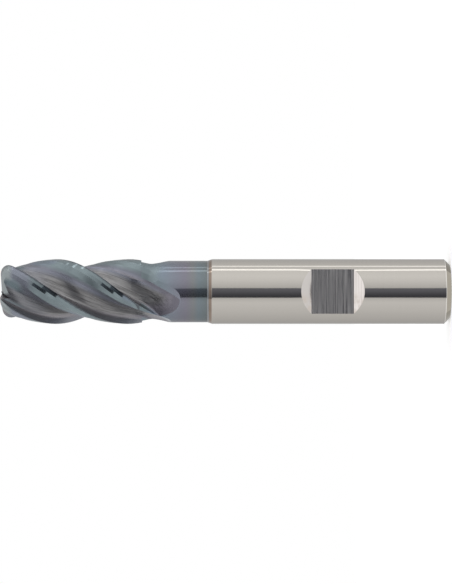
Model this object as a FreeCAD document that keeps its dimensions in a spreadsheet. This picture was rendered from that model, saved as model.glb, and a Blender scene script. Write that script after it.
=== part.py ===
import FreeCAD, Part
import os
from math import cos, pi, radians, sin, sqrt, tan

import Sketcher
from FreeCAD import Placement, Rotation, Vector

# Solid carbide corner radius end mill: four right-hand helical teeth in two pairs of
# unequal helix, a relieved neck and a plain shank with one driving flat.
# Frame: origin at the centre of the shank's end face, +Z along the axis to the cutting tip.
# Angles about the axis are degrees from +X. Seen from the tip, a tooth's edge is on the side
# of the larger angle and its land trails towards smaller angles.

os.makedirs("parts", exist_ok=True)
doc = FreeCAD.newDocument("end_mill")

# driving sizes, in millimetres and degrees
SIZES = (
    ("overall_length", 83.0),
    ("cutting_diameter", 12.0),
    ("cutting_length", 26.0),
    ("corner_radius", 2.5),
    ("dish_angle", 2.0),
    ("neck_diameter", 11.4),
    ("reach", 38.2),
    ("neck_cone_length", 0.85),
    ("shank_diameter", 12.0),
    ("shank_chamfer", 1.0),
    ("clamping_length", 28.5),
    ("flat_height", 10.4),
    ("flat_length", 7.8),
    ("flat_ramp_angle", 40.0),
    ("flat_position", 21.8),
    ("helix_first", 38.0),
    ("helix_second", 35.0),
    ("tooth_angle", 76.3),
    ("tooth_spacing", 81.0),
    ("core_diameter", 7.0),
    ("rake_angle", 10.0),
    ("floor_lead_angle", 32.0),
    ("floor_width", 1.88),
    ("back_wall_angle", 67.5),
    ("rake_root_radius", 1.0),
    ("back_root_radius", 6.0),
    ("margin_width", 0.05),
    ("primary_clearance", 11.0),
    ("primary_width", 0.84),
    ("secondary_clearance", 24.0),
    ("secondary_width", 0.74),
    ("third_clearance", 45.0),
    ("third_width", 1.34),
    ("back_clearance", 62.0),
    ("back_width", 2.2),
    ("relief_end_first", 24.6),
    ("relief_end_second", 26.4),
    ("relief_lift_angle", 25.0),
    ("relief_lift_radius", 6.0),
    ("relief_lift_length", 4.4),
    ("wheel_radius", 20.0),
    ("lift_start_first", 24.2),
    ("lift_start_second", 22.4),
    ("lift_length", 9.8),
    ("lift_lag", 0.40),
    ("lift_opening", 0.32),
    ("start_overrun", 1.0),
    ("flute_overrun", 2.0),
    ("relief_overrun", 1.6),
    ("relief_outer_gap", 2.5),
    ("relief_near_angle", 20.0),
    ("relief_near_gap", 0.6),
    ("relief_far_angle", 60.0),
    ("end_land", 0.8),
    ("end_clearance", 8.0),
    ("end_back_width", 1.65),
    ("end_back_clearance", 17.0),
    ("end_heel_clearance", 50.0),
    ("end_relief_width", 5.0),
    ("end_overrun", 0.5),
    ("end_relief_start", 0.25),
    ("end_set_back", 0.35),
    ("gash_angle", 25.0),
    ("gash_wall_angle", 36.0),
    ("gash_depth", 0.3),
    ("gash_start_first", 0.15),
    ("gash_start_second", 0.9),
    ("gash_width", 1.9),
)

sheet = doc.addObject("Spreadsheet::Sheet", "Sizes")
for row, (name, number) in enumerate(SIZES, 1):
    sheet.set(f"A{row}", name)
    sheet.set(f"B{row}", str(number))
    sheet.setAlias(f"B{row}", name)
doc.recompute()


class Size:
    """A number together with the sheet expression that gives it."""

    def __init__(self, number, text=None):
        self.number = float(number)
        self.text = text or f"({float(number):.9f})"

    @staticmethod
    def of(other):
        return other if isinstance(other, Size) else Size(other)

    def __add__(self, other):
        other = Size.of(other)
        return Size(self.number + other.number, f"({self.text} + {other.text})")

    def __sub__(self, other):
        other = Size.of(other)
        return Size(self.number - other.number, f"({self.text} - {other.text})")

    def __mul__(self, other):
        other = Size.of(other)
        return Size(self.number * other.number, f"({self.text} * {other.text})")

    def __truediv__(self, other):
        other = Size.of(other)
        return Size(self.number / other.number, f"({self.text} / {other.text})")

    def __rsub__(self, other):
        return Size.of(other) - self

    def __rtruediv__(self, other):
        return Size.of(other) / self

    def __neg__(self):
        return 0 - self

    __radd__ = __add__
    __rmul__ = __mul__


def size(name):
    return Size(float(sheet.get(name)), f"Sizes.{name}")


def cosd(a):
    a = Size.of(a)
    return Size(cos(radians(a.number)), f"cos({a.text})")


def sind(a):
    a = Size.of(a)
    return Size(sin(radians(a.number)), f"sin({a.text})")


def tand(a):
    a = Size.of(a)
    return Size(tan(radians(a.number)), f"tan({a.text})")


def root(a):
    return Size(sqrt(a.number), f"sqrt({a.text})")


length = size("overall_length")
cut_r = size("cutting_diameter") / 2
neck_r = size("neck_diameter") / 2
shank_r = size("shank_diameter") / 2
core_r = size("core_diameter") / 2
corner = size("corner_radius")

body = doc.addObject("PartDesign::Body", "end_mill")
body.Label = "end_mill"


def origin(role):
    return next(f for f in body.Origin.OriginFeatures if f.Role == role)


def sketch(name, role, turn=None, axis=(0, 0, 1), base=(None, None, None)):
    """A sketch on one of the body's planes, moved by base and turned about a local axis."""
    s = body.newObject("Sketcher::SketchObject", name)
    s.AttachmentSupport = (origin(role), [""])
    s.MapMode = "FlatFace"
    start = [b.number if b else 0.0 for b in base]
    angle = turn.number if turn else 0.0
    s.AttachmentOffset = Placement(Vector(*start), Rotation(Vector(*axis), angle))
    for letter, b in zip("xyz", base):
        if b:
            s.setExpression(f"AttachmentOffset.Base.{letter}", b.text)
    if turn:
        s.setExpression("AttachmentOffset.Rotation.Angle", turn.text)
    return s


def pin(s, constraint, name, value):
    """Add a driving constraint and bind it to the sheet."""
    s.addConstraint(constraint)
    s.renameConstraint(s.ConstraintCount - 1, name)
    s.setExpression(f"Constraints.{name}", value.text)


def outline(s, corners):
    """A closed outline. A corner is (x, y) or (x, y, fillet radius), all Sizes."""
    n = len(corners)
    pts = [Vector(c[0].number, c[1].number, 0) for c in corners]
    starts, ends, arcs = {}, {}, {}
    for i, c in enumerate(corners):
        p = pts[i]
        starts[i] = ends[i] = p
        if len(c) == 3:
            a = (pts[i - 1] - p).normalize()
            b = (pts[(i + 1) % n] - p).normalize()
            half = a.getAngle(b) / 2
            back = c[2].number / tan(half)
            ends[i] = p + a * back
            starts[i] = p + b * back
            centre = p + (a + b).normalize() * (c[2].number / sin(half))
            mid = centre + (p - centre).normalize() * c[2].number
            arcs[i] = Part.Arc(ends[i], mid, starts[i])
    lines = []
    for i in range(n):
        j = (i + 1) % n
        lines.append(s.addGeometry(Part.LineSegment(starts[i], ends[j])))
    for i, c in enumerate(corners):
        before, after = lines[i - 1], lines[i]
        if len(c) == 2:
            s.addConstraint(Sketcher.Constraint("Coincident", before, 2, after, 1))
            pin(s, Sketcher.Constraint("DistanceX", after, 1, c[0].number), f"px{i}", c[0])
            pin(s, Sketcher.Constraint("DistanceY", after, 1, c[1].number), f"py{i}", c[1])
            continue
        arc = s.addGeometry(arcs[i])
        # the arc's own start is its clockwise end
        near = 1 if (s.getPoint(arc, 1) - ends[i]).Length < 1e-6 else 2
        far = 3 - near
        s.addConstraint(Sketcher.Constraint("Tangent", before, 2, arc, near))
        s.addConstraint(Sketcher.Constraint("Tangent", arc, far, after, 1))
        pin(s, Sketcher.Constraint("Radius", arc, c[2].number), f"radius{i}", c[2])
        point = s.addGeometry(Part.Point(pts[i]), True)
        s.addConstraint(Sketcher.Constraint("PointOnObject", point, 1, before))
        s.addConstraint(Sketcher.Constraint("PointOnObject", point, 1, after))
        pin(s, Sketcher.Constraint("DistanceX", point, 1, c[0].number), f"px{i}", c[0])
        pin(s, Sketcher.Constraint("DistanceY", point, 1, c[1].number), f"py{i}", c[1])


def built(feature, smaller=True):
    """Recompute, and stop if the feature failed or removed nothing. Faces stay as they were
    cut, so the shank keeps its clamping length as a face of its own."""
    feature.Refine = False
    before = body.Tip.Shape.Volume if body.Tip and body.Tip != feature else None
    base = feature.BaseFeature.Shape.Volume if getattr(feature, "BaseFeature", None) else before
    doc.recompute()
    if "Invalid" in feature.State or "Error" in feature.State:
        raise RuntimeError(f"{feature.Name} failed: {feature.State}")
    if feature.Shape.isNull() or not feature.Shape.isValid():
        raise RuntimeError(f"{feature.Name} has no valid shape")
    if smaller and base and not feature.Shape.Volume < base - 1e-3:
        raise RuntimeError(f"{feature.Name} removed nothing")
    return feature


# blank: shank with its chamfer, cone, neck, and the cutting head with its corner radius
cut_start = length - size("cutting_length")
neck_start = length - size("reach")
zero = Size(0)
profile = sketch("blank_profile", "XZ_Plane")
chain = (
    (zero, zero),
    (shank_r - size("shank_chamfer"), zero),
    (shank_r, size("shank_chamfer")),
    (shank_r, size("clamping_length")),
    (shank_r, neck_start - size("neck_cone_length")),
    (neck_r, neck_start),
    (neck_r, cut_start),
    (cut_r, cut_start),
    (cut_r, length - corner),
    (cut_r - corner, length),
    (zero, length - (cut_r - corner) * tand(size("dish_angle"))),
)
last = len(chain) - 1
for i, (x, y) in enumerate(chain):
    nx, ny = chain[(i + 1) % len(chain)]
    a, b = Vector(x.number, y.number, 0), Vector(nx.number, ny.number, 0)
    if i == last - 2:
        half = sqrt(0.5) * corner.number
        centre = Vector(b.x, a.y, 0)
        profile.addGeometry(Part.Arc(a, centre + Vector(half, half, 0), b))
        continue
    profile.addGeometry(Part.LineSegment(a, b))
for i, (x, y) in enumerate(chain):
    j = (i - 1) % len(chain)
    end = 2
    profile.addConstraint(Sketcher.Constraint("Coincident", j, end, i, 1))
    pin(profile, Sketcher.Constraint("DistanceX", i, 1, x.number), f"px{i}", x)
    pin(profile, Sketcher.Constraint("DistanceY", i, 1, y.number), f"py{i}", y)
pin(profile, Sketcher.Constraint("Radius", last - 2, corner.number), "corner", corner)
doc.recompute()
blank = body.newObject("PartDesign::Revolution", "blank")
blank.Profile = profile
blank.ReferenceAxis = (profile, ["V_Axis"])
blank.Angle = 360.0
built(blank, smaller=False)

# driving flat: a level floor with a ramp at each end, facing -Y
floor = shank_r - size("flat_height")
over = shank_r + 1
ramp = (over + floor) / tand(size("flat_ramp_angle"))
low = size("flat_position") - size("flat_length") / 2
high = size("flat_position") + size("flat_length") / 2
flat_sketch = sketch("flat_profile", "YZ_Plane")
outline(flat_sketch, ((floor, low), (-over, low - ramp), (-over, high + ramp), (floor, high)))
doc.recompute()
flat = body.newObject("PartDesign::Pocket", "driving_flat")
flat.Profile = flat_sketch
flat.Type = 0
flat.Midplane = True
flat.Length = shank_r.number * 2
flat.setExpression("Length", "Sizes.shank_diameter")
built(flat)


def lead(helix):
    """Advance of a tooth in one turn."""
    return size("cutting_diameter") * pi / tand(size(helix))


def edge_angle(start, helix, depth):
    """Angle of a cutting edge at a depth below the tip."""
    return start - 360 * depth / lead(helix)


def flute_outline(lag, lift, opening):
    """Section of one flute. +x is the outward normal of its floor, and the edge that its rake
    face ends in is clockwise of it by the floor's lead angle and the lag."""
    turn = size("floor_lead_angle") + lag
    slope = turn - size("rake_angle")
    ex, ey = cut_r * cosd(turn), -(cut_r * sind(turn))
    outer = cut_r + size("flute_overrun")
    deep = core_r + lift
    start = cosd(size("floor_lead_angle")) * cut_r
    first = tand(size("floor_lead_angle") - size("rake_angle"))
    foot = -(cut_r * sind(size("floor_lead_angle"))) + (start - core_r) * first
    back = foot + size("floor_width") + opening
    return (
        (outer, ey - (outer - ex) * tand(slope)),
        (deep, ey + (ex - deep) * tand(slope), size("rake_root_radius")),
        (deep, back, size("back_root_radius")),
        (outer, back + (outer - deep) * tand(size("back_wall_angle"))),
    )


def relief_outline(scale, lift):
    """Section outside one land: margin, three clearance facets and the back facet. The
    cutting edge lies on +x and the land trails towards -y."""
    x, y = cut_r, -size("margin_width")
    pts = []
    c = size("primary_clearance")
    over = size("relief_overrun")
    pts.append((x + over * sind(c), y + over * cosd(c)))
    for facet in ("primary", "secondary", "third", "back"):
        c, w = size(facet + "_clearance"), size(facet + "_width")
        x, y = x - w * sind(c), y - w * cosd(c)
        pts.append((x, y))
    out = cut_r + size("relief_outer_gap")
    far, near = size("relief_far_angle"), size("relief_near_angle")
    pts.append((out * cosd(far), -(out * sind(far))))
    pts.append((out * cosd(near) + size("relief_near_gap"), -(out * sind(near))))
    push = size("relief_lift_angle")
    return [(px * scale + lift * cosd(push), py * scale - lift * sind(push)) for px, py in pts]


def section(name, depth, turn, corners):
    """A section sketch square to the axis at a depth below the tip."""
    s = sketch(name, "XY_Plane", turn, base=(None, None, length - depth))
    outline(s, corners)
    return s


def helix_cut(name, profile_sketch, helix, height):
    """Cut a section along a tooth's helix, from above the tip towards the shank."""
    cut = body.newObject("PartDesign::SubtractiveHelix", name)
    cut.Profile = profile_sketch
    cut.ReferenceAxis = (origin("Z_Axis"), [""])
    cut.Mode = 0
    cut.Pitch = lead(helix).number
    cut.setExpression("Pitch", lead(helix).text)
    cut.Height = height.number
    cut.setExpression("Height", height.text)
    cut.Reversed = True
    cut.LeftHanded = False
    return built(cut)


def loft_cut(name, sections):
    """Cut a loft through section sketches."""
    doc.recompute()
    cut = body.newObject("PartDesign::SubtractiveLoft", name)
    cut.Profile = sections[0]
    cut.Sections = list(sections[1:])
    return built(cut)


def grind_tooth(tag, start, spacing, helix, lift_start, relief_end, gash_start):
    """All cuts of one tooth: flute and run-out, reliefs, end relief and gash."""
    cuts = []
    above = size("start_overrun")
    lead_angle = size("floor_lead_angle")

    s = section(f"flute_{tag}", -above, edge_angle(start, helix, -above) + lead_angle,
                flute_outline(zero, zero, zero))
    doc.recompute()
    cuts.append(helix_cut(f"flute_cut_{tag}", s, helix, lift_start + above))

    steps = 6
    stations = []
    for i in range(steps + 1):
        x = size("lift_length") * (i / steps)
        lift = size("wheel_radius") - root(size("wheel_radius") * size("wheel_radius") - x * x)
        lag = size("lift_lag") * x * x
        turn = edge_angle(start, helix, lift_start + x) + lead_angle + lag
        stations.append(section(f"run_out_{tag}_{i}", lift_start + x, turn,
                                flute_outline(lag, lift, size("lift_opening") * x)))
    cuts.append(loft_cut(f"run_out_cut_{tag}", stations))

    stations = []
    steps = 6
    for i in range(steps + 1):
        bend = 90 * i / steps
        depth = corner - corner * cosd(bend)
        scale = (cut_r - corner + corner * sind(bend)) / cut_r
        turn = edge_angle(start, helix, depth)
        stations.append(section(f"corner_{tag}_{i}", depth, turn, relief_outline(scale, zero)))
    cuts.append(loft_cut(f"corner_cut_{tag}", stations))

    one = Size(1)
    s = section(f"relief_{tag}", corner, edge_angle(start, helix, corner),
                relief_outline(one, zero))
    doc.recompute()
    cuts.append(helix_cut(f"relief_cut_{tag}", s, helix, relief_end - corner))

    stations = []
    steps = 4
    for i in range(steps + 1):
        x = size("relief_lift_length") * (i / steps)
        r = size("relief_lift_radius")
        lift = r - root(r * r - x * x)
        depth = relief_end + x
        turn = edge_angle(start, helix, depth)
        stations.append(section(f"fade_{tag}_{i}", depth, turn, relief_outline(one, lift)))
    cuts.append(loft_cut(f"fade_cut_{tag}", stations))
    cuts.append(end_relief(tag, start, spacing))
    cuts.append(gash(tag, start, gash_start))
    return cuts


def end_relief(tag, start, spacing):
    """Flat end land and its back clearance, ground along the end cutting edge. The cut runs
    from the plane of the next tooth's edge outwards, spacing degrees behind this edge."""
    turn = start + 90 - spacing
    near = size("end_relief_start")
    s = sketch(f"end_relief_{tag}", "YZ_Plane", turn, (0, 1, 0),
               (near * sind(turn), None, near * cosd(turn)))
    dish = tand(size("dish_angle"))
    z = length - (cut_r - corner - near) * dish
    skew = sind(spacing)
    edge = -size("end_set_back")
    over = size("end_overrun")
    y = edge + over
    level = z + over * tand(size("end_clearance"))
    corners = [(y / skew, length + 1), (y / skew, level)]
    heel = size("end_relief_width") - size("end_land") - size("end_back_width")
    for wide, clearance in ((size("end_land") + over, "end_clearance"),
                            (size("end_back_width"), "end_back_clearance"),
                            (heel, "end_heel_clearance")):
        y = y - wide
        level = level - wide * tand(size(clearance))
        corners.append((y / skew, level))
    outline(s, corners + [(y / skew, length + 1)])
    doc.recompute()
    cut = body.newObject("PartDesign::Pocket", f"end_relief_cut_{tag}")
    cut.Profile = s
    cut.Type = 0
    cut.UseCustomVector = True
    way = (cosd(start) * cosd(size("dish_angle")), sind(start) * cosd(size("dish_angle")),
           sind(size("dish_angle")))
    cut.Direction = Vector(*[w.number for w in way])
    for letter, w in zip("xyz", way):
        cut.setExpression(f"Direction.{letter}", w.text)
    reach = cut_r + 1
    cut.Length = reach.number
    cut.setExpression("Length", reach.text)
    return built(cut)


def gash(tag, start, inner):
    """Notch in front of the end cutting edge, sloping down from the centre to the flute."""
    back = size("end_set_back")
    s = sketch(f"gash_{tag}", "XZ_Plane", start, (0, 1, 0),
               (back * sind(start), None, back * cosd(start)))
    low = length - size("gash_depth")
    out = cut_r + 1.5
    top = length + 6
    outline(s, ((inner, top), (inner, low), (out, low - (out - inner) * tand(size("gash_angle"))),
                (out, top)))
    doc.recompute()
    cut = body.newObject("PartDesign::Pocket", f"gash_cut_{tag}")
    cut.Profile = s
    cut.Type = 0
    cut.Length = size("gash_width").number
    cut.setExpression("Length", "Sizes.gash_width")
    cut.TaperAngle = -(90 - size("gash_wall_angle").number)
    cut.setExpression("TaperAngle", "-(90 - Sizes.gash_wall_angle)")
    return built(cut)


def paired(name, cuts):
    """The opposite tooth of a pair."""
    pattern = body.newObject("PartDesign::PolarPattern", name)
    pattern.Originals = cuts
    pattern.Axis = (origin("Z_Axis"), [""])
    pattern.Angle = 360.0
    pattern.Occurrences = 2
    body.Tip = pattern
    return built(pattern)


if __name__ == "__main__":
    narrow = size("tooth_spacing")
    first = grind_tooth("first", size("tooth_angle"), 180 - narrow, "helix_first",
                        size("lift_start_first"), size("relief_end_first"),
                        size("gash_start_first"))
    paired("first_pair", first)
    second = grind_tooth("second", size("tooth_angle") + narrow, narrow, "helix_second",
                         size("lift_start_second"), size("relief_end_second"),
                         size("gash_start_second"))
    paired("second_pair", second)
    for o in doc.Objects:
        if "Invalid" in o.State or "Error" in o.State:
            raise RuntimeError(f"{o.Name}: {o.State}")
    shape = body.Shape
    if shape.isNull() or not shape.isValid() or len(shape.Solids) != 1:
        raise RuntimeError("the end mill is not one valid solid")
    shape.exportStep("parts/end_mill.step")
    print("volume", round(shape.Volume, 3), "faces", len(shape.Faces))
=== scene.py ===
import math
from types import SimpleNamespace

import bmesh
import bpy
from mathutils import Matrix

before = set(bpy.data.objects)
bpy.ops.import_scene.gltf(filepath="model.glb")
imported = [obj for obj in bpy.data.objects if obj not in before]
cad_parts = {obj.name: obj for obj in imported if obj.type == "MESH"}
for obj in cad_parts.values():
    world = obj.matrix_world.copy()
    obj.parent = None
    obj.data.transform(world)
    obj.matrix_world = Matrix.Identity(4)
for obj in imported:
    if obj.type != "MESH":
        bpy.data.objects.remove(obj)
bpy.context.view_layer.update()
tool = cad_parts["end_mill"]
scene = bpy.context.scene

# measures of the tool in millimetres; z runs from the end of the shank to the tip
TIP = 83.0
CUTTER_RADIUS = 6.0
CORNER_RADIUS = 2.5
CUTTING_END = 57.0
FLUTE_END = 50.0
COATING_END = 44.5
FLAT_LEVEL = -4.4
FLAT_MIDDLE = 21.8
FLAT_REACH = 4.0
RAMP_REACH = 6.5
CHAMFER = 1.0

# turn of the flutes in radians per millimetre, the mean of the two helices
TWIST = 0.1234

# for each pair of teeth: edge at the tip and its turn per millimetre, how far behind the
# edge the land's middle lies, all in degrees, and the cosines between which the land fades
LANDS = (
    (76.3, 7.46, 11.5, 0.90, 0.94),
    (157.3, 6.69, 20.0, 0.72, 0.80),
)

# interference colours of the coating on the neck, by the part of the way from NECK_START up
NECK_START = 43.0
NECK_LENGTH = 14.0
NECK_BANDS = (
    (0.07, (0.300, 0.225, 0.180)),
    (0.115, (0.215, 0.190, 0.170)),
    (0.15, (0.185, 0.215, 0.225)),
    (0.25, (0.200, 0.240, 0.265)),
    (0.32, (0.235, 0.245, 0.255)),
    (0.42, (0.235, 0.228, 0.275)),
    (0.55, (0.235, 0.250, 0.300)),
    (0.75, (0.235, 0.285, 0.335)),
    (1.0, (0.240, 0.300, 0.345)),
)

# colours of the metal; some of them are painted shade, painted highlights and painted
# reflections, as noted where they are used
BARE_DARK = (0.545, 0.518, 0.478)
BARE_LIGHT = (0.575, 0.548, 0.507)
HEAT_TINT = (0.270, 0.205, 0.165)
CONE_EDGE_HIGHLIGHT = (0.420, 0.460, 0.500)
LAND_DARK = (0.205, 0.250, 0.268)
LAND_LIGHT = (0.240, 0.292, 0.310)
LAND_BLUE = (0.222, 0.262, 0.335)
LAND_NEAR_TIP = (0.243, 0.262, 0.312)
LAND_CORNER = (0.290, 0.322, 0.330)
HONED_EDGE = (0.085, 0.090, 0.105)
FLUTE_DARK = (0.148, 0.145, 0.148)
FLUTE_LIGHT = (0.328, 0.325, 0.328)
FLUTE_LILAC = (0.245, 0.228, 0.285)
FLUTE_BLUE = (0.264, 0.286, 0.362)
FLUTE_FOOT_SHADE = (0.125, 0.135, 0.150)
FLUTE_NEAR_TIP = (0.215, 0.222, 0.255)
RUN_OUT_RIM_SHADE = (0.172, 0.165, 0.200)
RAKE_PAINTED_LIGHT = (0.295, 0.284, 0.298)
OUTER_RAKE_SHADE = (0.240, 0.250, 0.278)
GASH_SHADE = (0.150, 0.190, 0.212)
FLAT_DARK = (0.255, 0.250, 0.250)
FLAT_LIGHT = (0.760, 0.740, 0.725)
RAMP_SHEEN_DARK = (0.680, 0.630, 0.605)
RAMP_SHEEN_LIGHT = (0.860, 0.810, 0.780)
RAMP_DULL = (0.540, 0.515, 0.495)
RAMP_BROWN = (0.560, 0.490, 0.430)
BEVEL_SHADE = (0.370, 0.340, 0.285)
BEVEL_RIM_HIGHLIGHT = (0.850, 0.820, 0.780)

# how metallic each finish is
BARE_METALLIC = 1.0
NECK_METALLIC = 0.87
LAND_METALLIC = 0.94
FLUTE_METALLIC = 0.77

# how rough each finish is
BARE_ROUGH = 0.085
NECK_ROUGH = 0.12
LAND_ROUGH = 0.09
LAND_TIP_ROUGH = 0.22
LAST_FACET_ROUGH = 0.38
FLUTE_ROUGH = 0.30
FLAT_ROUGH = 0.24

# strength of the grinding marks, and their depth in metres
MARK_STRENGTH = 0.35
MARK_DEPTH = 0.000012

# floor and light tent, in metres
FLOOR_RADIUS = 0.34
TENT_RADIUS = 0.62
TENT_HEIGHT = 1.5
TENT_MIDDLE = 0.05

# light of the floor, of the world away from the camera and of the tent
FLOOR_GREY = (0.80, 0.80, 0.80)
FLOOR_GLOW = 0.45
WORLD_LIGHT = 0.9
WALL_BRIGHT = (1.35, 1.35, 1.35)
TUBE_LIGHT = 1.12
SECOND_TUBE_SHARE = 0.88
GAP_LIGHT = 0.062
GAP_LIGHT_RISE = 0.115
GAP_TINT = (1.0, 1.03, 1.20)

# light of the tent's wall by bearing in degrees, 0 being towards the camera
WALL_LIGHT = (
    (-180, 0.52), (-146, 0.53), (-120, 0.65), (-76, 0.79), (-40, 0.88), (-29, 0.80),
    (-21, 0.66), (11, 0.68), (25, 0.81), (40, 0.93), (56, 1.0), (77, 0.96),
    (108, 0.78), (127, 0.68), (146, 0.58), (180, 0.52),
)

# camera: the photograph looks along +Y with the tip to the left, so +X is up in it
LENS = 153.0
CAMERA_PLACE = (-0.00009, -0.460, 0.04138)
CAMERA_TURN = ((0, 1, 0), (0, 0, -1), (-1, 0, 0))


class Nodes:
    """Short calls that add nodes to one tree and return output sockets."""

    def __init__(self, tree):
        self.tree = tree

    def node(self, kind, **values):
        n = self.tree.nodes.new(kind)
        for name, value in values.items():
            setattr(n, name, value)
        return n

    def put(self, socket, value):
        """Link a socket to a socket, or set its value."""
        if isinstance(value, bpy.types.NodeSocket):
            self.tree.links.new(value, socket)
        else:
            socket.default_value = value

    def put_colour(self, socket, colour):
        linked = isinstance(colour, bpy.types.NodeSocket)
        self.put(socket, colour if linked else (*colour, 1.0))

    def math(self, operation, a, b=0.0, clamp=False):
        n = self.node("ShaderNodeMath", operation=operation, use_clamp=clamp)
        self.put(n.inputs[0], a)
        self.put(n.inputs[1], b)
        return n.outputs[0]

    def plus(self, a, b):
        return self.math("ADD", a, b)

    def minus(self, a, b):
        return self.math("SUBTRACT", a, b)

    def times(self, product, *others):
        for other in others:
            product = self.math("MULTIPLY", product, other)
        return product

    def over(self, a, b):
        return self.math("DIVIDE", a, b)

    def larger(self, a, b):
        return self.math("MAXIMUM", a, b)

    def length(self, a, b):
        """Length of the vector a, b."""
        return self.math("SQRT", self.plus(self.times(a, a), self.times(b, b)))

    def step(self, value, low, high):
        """0 below low, 1 above high, smooth between; low may be the larger."""
        n = self.node("ShaderNodeMapRange", interpolation_type="SMOOTHSTEP")
        falls = low > high
        self.put(n.inputs["Value"], value)
        self.put(n.inputs["From Min"], min(low, high))
        self.put(n.inputs["From Max"], max(low, high))
        self.put(n.inputs["To Min"], 1.0 if falls else 0.0)
        self.put(n.inputs["To Max"], 0.0 if falls else 1.0)
        return n.outputs["Result"]

    def band(self, value, middle, half, soft):
        """1 within half of the middle, falling to 0 over soft."""
        away = self.math("ABSOLUTE", self.minus(value, middle))
        return self.step(away, half + soft, half)

    def mix(self, factor, a, b):
        """Colour a where factor is 0 and b where it is 1."""
        n = self.node("ShaderNodeMix", data_type="RGBA")
        self.put(n.inputs["Factor"], factor)
        self.put_colour(n.inputs["A"], a)
        self.put_colour(n.inputs["B"], b)
        return n.outputs["Result"]

    def blend(self, factor, a, b):
        """Number a where factor is 0 and b where it is 1."""
        n = self.node("ShaderNodeMix", data_type="FLOAT")
        self.put(n.inputs["Factor"], factor)
        self.put(n.inputs["A"], a)
        self.put(n.inputs["B"], b)
        return n.outputs["Result"]

    def vector(self, x, y, z):
        n = self.node("ShaderNodeCombineXYZ")
        for socket, value in zip(n.inputs, (x, y, z)):
            self.put(socket, value)
        return n.outputs[0]

    def split(self, vector):
        n = self.node("ShaderNodeSeparateXYZ")
        self.put(n.inputs[0], vector)
        return n.outputs

    def noise(self, at, scale, detail=2.0, rough=0.5):
        n = self.node("ShaderNodeTexNoise")
        self.put(n.inputs["Vector"], at)
        self.put(n.inputs["Scale"], scale)
        self.put(n.inputs["Detail"], detail)
        self.put(n.inputs["Roughness"], rough)
        return n.outputs["Fac"]

    def ramp(self, value, stops):
        n = self.node("ShaderNodeValToRGB")
        elements = n.color_ramp.elements
        while len(elements) < len(stops):
            elements.new(1.0)
        for element, (place, colour) in zip(elements, stops):
            element.position = place
            element.color = (*colour, 1.0)
        self.put(n.inputs["Fac"], value)
        return n.outputs["Color"]


def material(name):
    """A new material, its nodes and the socket that takes its shader."""
    m = bpy.data.materials.new(name)
    m.use_nodes = True
    m.node_tree.nodes.clear()
    n = Nodes(m.node_tree)
    return m, n, n.node("ShaderNodeOutputMaterial").inputs["Surface"]


def mesh_object(name, build):
    mesh = bpy.data.meshes.new(name)
    bm = bmesh.new()
    build(bm)
    bm.to_mesh(mesh)
    bm.free()
    o = bpy.data.objects.new(name, mesh)
    scene.collection.objects.link(o)
    return o


def places(n):
    """Where a point of the tool lies, in millimetres, and how its surface faces."""
    coords = n.node("ShaderNodeTexCoord")
    scaled = n.node("ShaderNodeVectorMath", operation="SCALE")
    n.put(scaled.inputs[0], coords.outputs["Object"])
    n.put(scaled.inputs["Scale"], 1000.0)
    mm = scaled.outputs[0]
    x, y, z = n.split(mm)
    nx, ny, nz = n.split(coords.outputs["Normal"])
    radius = n.length(x, y)
    divisor = n.larger(radius, 0.2)
    # how far the surface faces away from the axis, and round it
    outward = n.over(n.plus(n.times(nx, x), n.times(ny, y)), divisor)
    across = n.over(n.minus(n.times(x, ny), n.times(y, nx)), divisor)
    # coordinates that turn with the flutes, so that marks run along them
    turn = n.times(z, TWIST)
    cosine = n.math("COSINE", turn)
    sine = n.math("SINE", turn)
    turned_x = n.plus(n.times(x, cosine), n.times(y, sine))
    turned_y = n.minus(n.times(y, cosine), n.times(x, sine))
    along_flute = n.vector(turned_x, turned_y, n.times(z, 0.05))
    return SimpleNamespace(mm=mm, x=x, y=y, z=z, ny=ny, nz=nz, radius=radius,
                           outward=outward, across=across, along_flute=along_flute)


def grain(n, at):
    """The noises that colours, roughness and marks share."""
    across_axis = n.vector(n.times(at.x, 0.008), 0.0, at.z)
    round_axis = n.vector(n.times(at.x, 0.03), n.times(at.y, 0.03), at.z)
    lines = n.noise(across_axis, scale=4.2, detail=4.0, rough=0.75)
    return SimpleNamespace(
        streak=n.noise(at.along_flute, scale=2.6, detail=3.0, rough=0.6),
        scratch=n.noise(at.along_flute, scale=5.5, rough=0.7),
        fine=n.noise(at.along_flute, scale=9.0, rough=0.6),
        cloud=n.noise(at.mm, scale=0.11),
        drift=n.noise(at.mm, scale=0.35, detail=1.0),
        marks=n.step(lines, 0.30, 0.70),
        ring=n.noise(round_axis, scale=14.0),
    )


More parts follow.
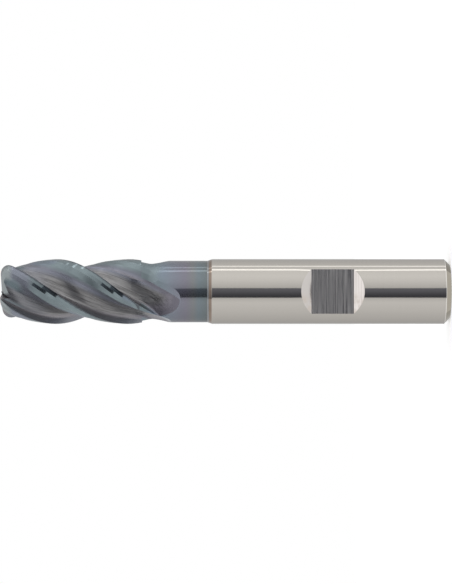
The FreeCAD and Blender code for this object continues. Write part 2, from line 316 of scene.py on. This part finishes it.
def head_parts(n, at):
    """Masks that are 1 on a part of the coated end and 0 beside it."""
    wavy_z = n.plus(at.z, n.times(n.noise(at.mm, scale=0.8), 0.12))
    coated = n.step(wavy_z, COATING_END - 0.08, COATING_END + 0.08)

    # reach is the radius as if the tool had no corner radius
    corner = TIP - CORNER_RADIUS
    rise = n.math("MINIMUM", n.larger(n.minus(at.z, corner), 0.0), CORNER_RADIUS - 0.05)
    fall = n.math("SQRT", n.minus(CORNER_RADIUS ** 2, n.times(rise, rise)))
    rim = n.plus(CUTTER_RADIUS - CORNER_RADIUS, fall)
    reach = n.times(at.radius, n.over(CUTTER_RADIUS, rim))
    # on the corner the land turns up towards the tip
    up = n.times(at.nz, n.step(at.z, corner - 0.1, corner + 0.3))
    facing = n.length(at.outward, up)

    # lands lie far out, but only just outside the neck below the cutting length
    run_out = n.step(at.z, CUTTING_END + 0.3, CUTTING_END - 0.3)
    inner = n.blend(run_out, 4.7, 5.58)
    soft = n.blend(run_out, 0.5, 0.08)
    land = n.math("DIVIDE", n.minus(reach, inner), soft, clamp=True)
    land = n.times(land, n.step(facing, 0.55, 0.75))
    # the end teeth's faces look like lands too
    end_face = n.times(n.step(at.nz, 0.50, 0.62), n.step(at.z, TIP - 2.0, TIP - 1.6))
    land = n.larger(land, end_face)
    # below the cutting length the lands fade into the neck beside the run-outs
    twice = n.times(n.math("ARCTAN2", at.y, at.x), 2.0)
    depth = n.minus(TIP, at.z)
    for edge, rate, lag, low, high in LANDS:
        turned = n.times(depth, math.radians(2 * rate))
        middle = n.minus(math.radians(2 * (edge - lag)), turned)
        near = n.math("COSINE", n.minus(twice, middle))
        land = n.larger(land, n.times(run_out, n.step(near, low, high)))

    in_flute = n.times(n.minus(1.0, land), n.step(at.z, FLUTE_END - 1.0, FLUTE_END))
    head = n.larger(n.step(at.z, FLUTE_END + 1.0, CUTTING_END - 1.0), in_flute)
    return SimpleNamespace(coated=coated, reach=reach, in_flute=in_flute, head=head)


def flat_mask(n, at):
    """1 on the level floor of the clamping flat."""
    low = n.step(at.y, FLAT_LEVEL + 0.20, FLAT_LEVEL + 0.02)
    level = n.times(low, n.step(at.ny, -0.93, -0.99))
    return n.times(level, n.band(at.z, FLAT_MIDDLE, FLAT_REACH, 0.1))


def neck_colour(n, at, noises):
    """Interference bands of the coating, across the axis."""
    place = n.over(n.minus(at.z, NECK_START), NECK_LENGTH)
    place = n.plus(place, n.times(n.minus(noises.cloud, 0.5), 0.05))
    return n.ramp(place, NECK_BANDS)


def land_colour(n, at, part, noises):
    colour = n.mix(n.step(noises.drift, 0.35, 0.65), LAND_DARK, LAND_LIGHT)
    colour = n.mix(n.step(noises.cloud, 0.52, 0.66), colour, LAND_BLUE)
    colour = n.mix(n.step(at.z, TIP - 6.4, TIP - 4.8), colour, LAND_NEAR_TIP)
    colour = n.mix(n.step(at.z, TIP - 2.6, TIP - 1.6), colour, LAND_CORNER)
    # the honed cutting edge is a thin dark line
    honed = n.times(n.step(part.reach, CUTTER_RADIUS - 0.055, CUTTER_RADIUS - 0.025),
                    n.step(at.z, CUTTING_END, CUTTING_END + 0.4))
    return n.mix(n.times(honed, 0.75), colour, HONED_EDGE)


def flute_colour(n, at, part, noises):
    mixed = n.plus(n.times(noises.streak, 0.45), n.times(noises.scratch, 0.55))
    patchy = n.plus(0.20, n.times(mixed, 0.9))
    colour = n.mix(n.step(mixed, 0.37, 0.63), FLUTE_DARK, FLUTE_LIGHT)
    colour = n.mix(n.times(n.step(at.radius, 4.1, 4.8), patchy), colour, FLUTE_LILAC)
    # the side behind the land is bluer, and painted shade darkens it where it meets the land
    turned_back = n.step(at.across, -0.15, -0.40)
    behind = n.times(turned_back, n.step(at.radius, 3.75, 4.45))
    colour = n.mix(n.times(behind, patchy), colour, FLUTE_BLUE)
    foot_shade = n.times(turned_back, n.step(at.radius, 4.50, 4.80))
    colour = n.mix(n.times(foot_shade, 0.50), colour, FLUTE_FOOT_SHADE)
    # near the tip the flutes are more even
    colour = n.mix(n.times(n.step(at.z, TIP - 10.0, TIP - 6.5), 0.5), colour, FLUTE_NEAR_TIP)
    # painted shade darkens the run-outs towards their rims
    rim_shade = n.times(n.step(at.across, 0.0, -0.3), n.step(at.radius, 4.0, 4.6))
    rim_shade = n.larger(rim_shade, n.step(at.radius, 4.8, 5.2))
    rim_shade = n.times(rim_shade, n.step(at.z, CUTTING_END, CUTTING_END - 2.0))
    colour = n.mix(n.times(rim_shade, 0.85), colour, RUN_OUT_RIM_SHADE)
    # rake face painted lighter against its dark reflection, and painted shade makes it
    # blue-black at its outer end
    painted_light_rake = n.times(part.in_flute, n.step(at.outward, 0.45, 0.2), n.step(at.radius, 5.9, 4.5))
    colour = n.mix(painted_light_rake, colour, RAKE_PAINTED_LIGHT)
    outer_rake_shade = n.times(n.step(at.outward, 0.35, 0.10), n.step(at.radius, 4.6, 5.5))
    colour = n.mix(outer_rake_shade, colour, OUTER_RAKE_SHADE)
    # the gash behind the end teeth is teal, darkened by painted shade
    gash_shade = n.times(n.step(at.z, TIP - 5.2, TIP - 3.0), n.step(at.radius, 3.75, 4.25),
                   n.step(at.outward, 0.45, 0.65))
    return n.mix(gash_shade, colour, GASH_SHADE)


def coated_colour(n, at, part, noises):
    """Bare shank, and the coating on neck and head."""
    head = n.mix(part.in_flute, land_colour(n, at, part, noises),
                 flute_colour(n, at, part, noises))
    coat = n.mix(part.head, neck_colour(n, at, noises), head)
    rings = n.noise(n.vector(0.0, 0.0, at.z), scale=3.0, detail=3.0)
    colour = n.mix(part.coated, n.mix(rings, BARE_DARK, BARE_LIGHT), coat)
    # heat tint where the coating ends, and beside it a pale ring that is a painted highlight
    tint = n.band(at.z, COATING_END - 0.24, 0.16, 0.16)
    colour = n.mix(n.times(tint, 0.9), colour, HEAT_TINT)
    ring = n.band(at.z, COATING_END + 0.20, 0.06, 0.10)
    return n.mix(n.times(ring, 0.6), colour, CONE_EDGE_HIGHLIGHT)


def clamping_colour(n, at, flat, noises, colour):
    """The clamping flat with its ramps, and the chamfer, over the given colour."""
    ground = n.mix(noises.marks, FLAT_DARK, FLAT_LIGHT)
    colour = n.mix(n.times(flat, 0.95), colour, ground)
    # the ramps are painted brighter than the carbide, a painted reflection over real
    # grinding marks; the ramp nearer the tip is duller, and both are browner towards one
    # side
    ramp = n.mix(noises.marks, RAMP_SHEEN_DARK, RAMP_SHEEN_LIGHT)
    ramp = n.mix(n.times(n.step(at.nz, -0.45, -0.6), 0.8), ramp, RAMP_DULL)
    # browner where x is low, patchy by a noise
    brown = n.step(n.noise(at.mm, scale=0.9), 0.30, 0.65)
    browner_side = n.times(n.step(at.x, 0.2, -1.6), brown)
    ramp = n.mix(n.times(browner_side, 0.6), ramp, RAMP_BROWN)
    sloping = n.step(n.math("ABSOLUTE", at.nz), 0.45, 0.6)
    ramps = n.times(sloping, n.band(at.z, FLAT_MIDDLE, RAMP_REACH, 0.3))
    colour = n.mix(ramps, colour, ramp)
    # chamfer darkened by painted shade, with a painted highlight along its rim
    shaded_bevel = n.times(n.step(at.nz, -0.4, -0.6), n.step(at.z, CHAMFER + 0.1, CHAMFER))
    colour = n.mix(shaded_bevel, colour, BEVEL_SHADE)
    return n.mix(n.times(n.band(at.z, CHAMFER, 0.05, 0.05), 0.8), colour, BEVEL_RIM_HIGHLIGHT)


def tool_metallic(n, part):
    """The coating is less mirror-like than bare carbide, and least in the flutes."""
    head = n.blend(part.in_flute, LAND_METALLIC, FLUTE_METALLIC)
    return n.blend(part.coated, BARE_METALLIC, n.blend(part.head, NECK_METALLIC, head))


def tool_roughness(n, at, part, flat, noises):
    # the lands are rougher at the tip, and so is their last facet
    land = n.blend(n.step(at.z, TIP - 4.5, TIP - 2.5), LAND_ROUGH, LAND_TIP_ROUGH)
    land = n.blend(n.step(part.reach, 5.76, 5.68), land, LAST_FACET_ROUGH)
    head = n.blend(part.in_flute, land, FLUTE_ROUGH)
    rough = n.blend(part.coated, BARE_ROUGH, n.blend(part.head, NECK_ROUGH, head))
    uneven = n.times(n.minus(noises.streak, 0.5), n.times(part.in_flute, 0.25))
    rough = n.plus(rough, uneven)
    return n.blend(flat, rough, n.plus(FLAT_ROUGH, n.times(noises.marks, 0.14)))


def grinding_marks(n, part, flat, noises):
    """Fine marks round the shank and neck, along the flutes and across the flat."""
    in_flute = n.plus(n.times(noises.fine, 0.7), n.times(noises.streak, 1.2))
    height = n.blend(part.in_flute, n.times(noises.ring, 0.10), in_flute)
    height = n.blend(flat, height, n.times(noises.marks, 2.0))
    bump = n.node("ShaderNodeBump")
    n.put(bump.inputs["Strength"], MARK_STRENGTH)
    n.put(bump.inputs["Distance"], MARK_DEPTH)
    n.put(bump.inputs["Height"], height)
    return bump.outputs[0]


def ground_carbide():
    """Carbide with its coating: one material, placed by the tool's own coordinates."""
    m, n, out = material("ground_carbide")
    at = places(n)
    part = head_parts(n, at)
    flat = flat_mask(n, at)
    noises = grain(n, at)
    colour = coated_colour(n, at, part, noises)
    colour = clamping_colour(n, at, flat, noises, colour)
    surface = n.node("ShaderNodeBsdfPrincipled")
    n.put(surface.inputs["Base Color"], colour)
    n.put(surface.inputs["Metallic"], tool_metallic(n, part))
    n.put(surface.inputs["Roughness"], tool_roughness(n, at, part, flat, noises))
    n.put(surface.inputs["Normal"], grinding_marks(n, part, flat, noises))
    n.put(out, surface.outputs[0])
    return m


def pale_floor():
    """White to the camera, and keeps the shadow."""
    m, n, out = material("pale_floor")
    path = n.node("ShaderNodeLightPath")
    paint = n.node("ShaderNodeBsdfDiffuse")
    n.put_colour(paint.inputs["Color"], FLOOR_GREY)
    glow = n.node("ShaderNodeEmission")
    n.put(glow.inputs["Strength"], n.times(path.outputs["Is Camera Ray"], FLOOR_GLOW))
    both = n.node("ShaderNodeAddShader")
    n.put(both.inputs[0], paint.outputs[0])
    n.put(both.inputs[1], glow.outputs[0])
    n.put(out, both.outputs[0])
    return m


def tent_light():
    """A soft wall with a dim gap for the camera and two lamp tubes."""
    m, n, out = material("light_tent")
    x, y, z = n.split(n.node("ShaderNodeTexCoord").outputs["Object"])
    bearing = n.math("ARCTAN2", x, n.times(y, -1.0))
    degrees = n.times(bearing, 180 / math.pi)
    place = n.plus(n.over(bearing, 2 * math.pi), 0.5)
    light = n.ramp(place, [((angle + 180) / 360, (v, v, v)) for angle, v in WALL_LIGHT])
    # the side that is lowest in the photograph is brighter above and below the shank's level
    level = n.larger(n.step(z, 0.09, 0.15), n.step(z, -0.10, -0.16))
    light = n.mix(n.times(n.step(degrees, -75.0, -95.0), level, 0.22), light, WALL_BRIGHT)
    # the gap leans to one side above the shank's level, and gets brighter across
    leaning = n.plus(degrees, n.times(n.step(z, 0.09, 0.17), 7.5))
    gap = n.times(n.band(leaning, -5.0, 16.2, 1.6), n.band(z, 0.17, 0.33, 0.06))
    dim = n.plus(GAP_LIGHT, n.times(n.step(degrees, -21.0, 11.0), GAP_LIGHT_RISE))
    light = n.mix(gap, light, n.vector(*[n.times(dim, share) for share in GAP_TINT]))
    second_tube = n.times(n.band(degrees, 101.5, 1.6, 1.0), SECOND_TUBE_SHARE)
    tubes = n.plus(n.band(degrees, 83.5, 2.2, 1.0), second_tube)
    glow = n.node("ShaderNodeEmission")
    n.put(glow.inputs["Color"], light)
    n.put(glow.inputs["Strength"], n.plus(1.0, n.times(tubes, TUBE_LIGHT)))
    n.put(out, glow.outputs[0])
    return m


def studio_world():
    """White behind the object, plain light elsewhere."""
    world = bpy.data.worlds.new("studio")
    world.use_nodes = True
    world.node_tree.nodes.clear()
    n = Nodes(world.node_tree)
    path = n.node("ShaderNodeLightPath").outputs
    seen = n.larger(path["Is Camera Ray"], path["Is Glossy Ray"])
    seen = n.larger(seen, path["Is Transmission Ray"])
    sky = n.node("ShaderNodeBackground")
    n.put_colour(sky.inputs["Color"], (1.0, 1.0, 1.0))
    n.put(sky.inputs["Strength"], n.blend(seen, WORLD_LIGHT, 1.0))
    n.put(n.node("ShaderNodeOutputWorld").inputs["Surface"], sky.outputs[0])
    return world


def disc(bm):
    bmesh.ops.create_circle(bm, cap_ends=True, segments=96, radius=FLOOR_RADIUS)


def wall(bm):
    bmesh.ops.create_cone(bm, cap_ends=False, segments=180, radius1=TENT_RADIUS,
                          radius2=TENT_RADIUS, depth=TENT_HEIGHT)
    for v in bm.verts:
        v.co.z += TENT_MIDDLE


def photo_camera():
    data = bpy.data.cameras.new("camera")
    data.sensor_width = 36.0
    data.lens = LENS
    data.clip_start = 0.001
    camera = bpy.data.objects.new("camera", data)
    scene.collection.objects.link(camera)
    turn = Matrix(CAMERA_TURN).to_4x4()
    camera.matrix_world = Matrix.Translation(CAMERA_PLACE) @ turn
    return camera


# the tool
metal = ground_carbide()
for slot in tool.material_slots:
    slot.material = metal

# the stage
ground = mesh_object("floor", disc)
ground.data.materials.append(pale_floor())
ground.visible_glossy = False

tent = mesh_object("light_tent", wall)
tent.data.materials.append(tent_light())
tent.visible_camera = False
tent.visible_shadow = False

scene.world = studio_world()
scene.camera = photo_camera()
scene.view_settings.view_transform = "Standard"
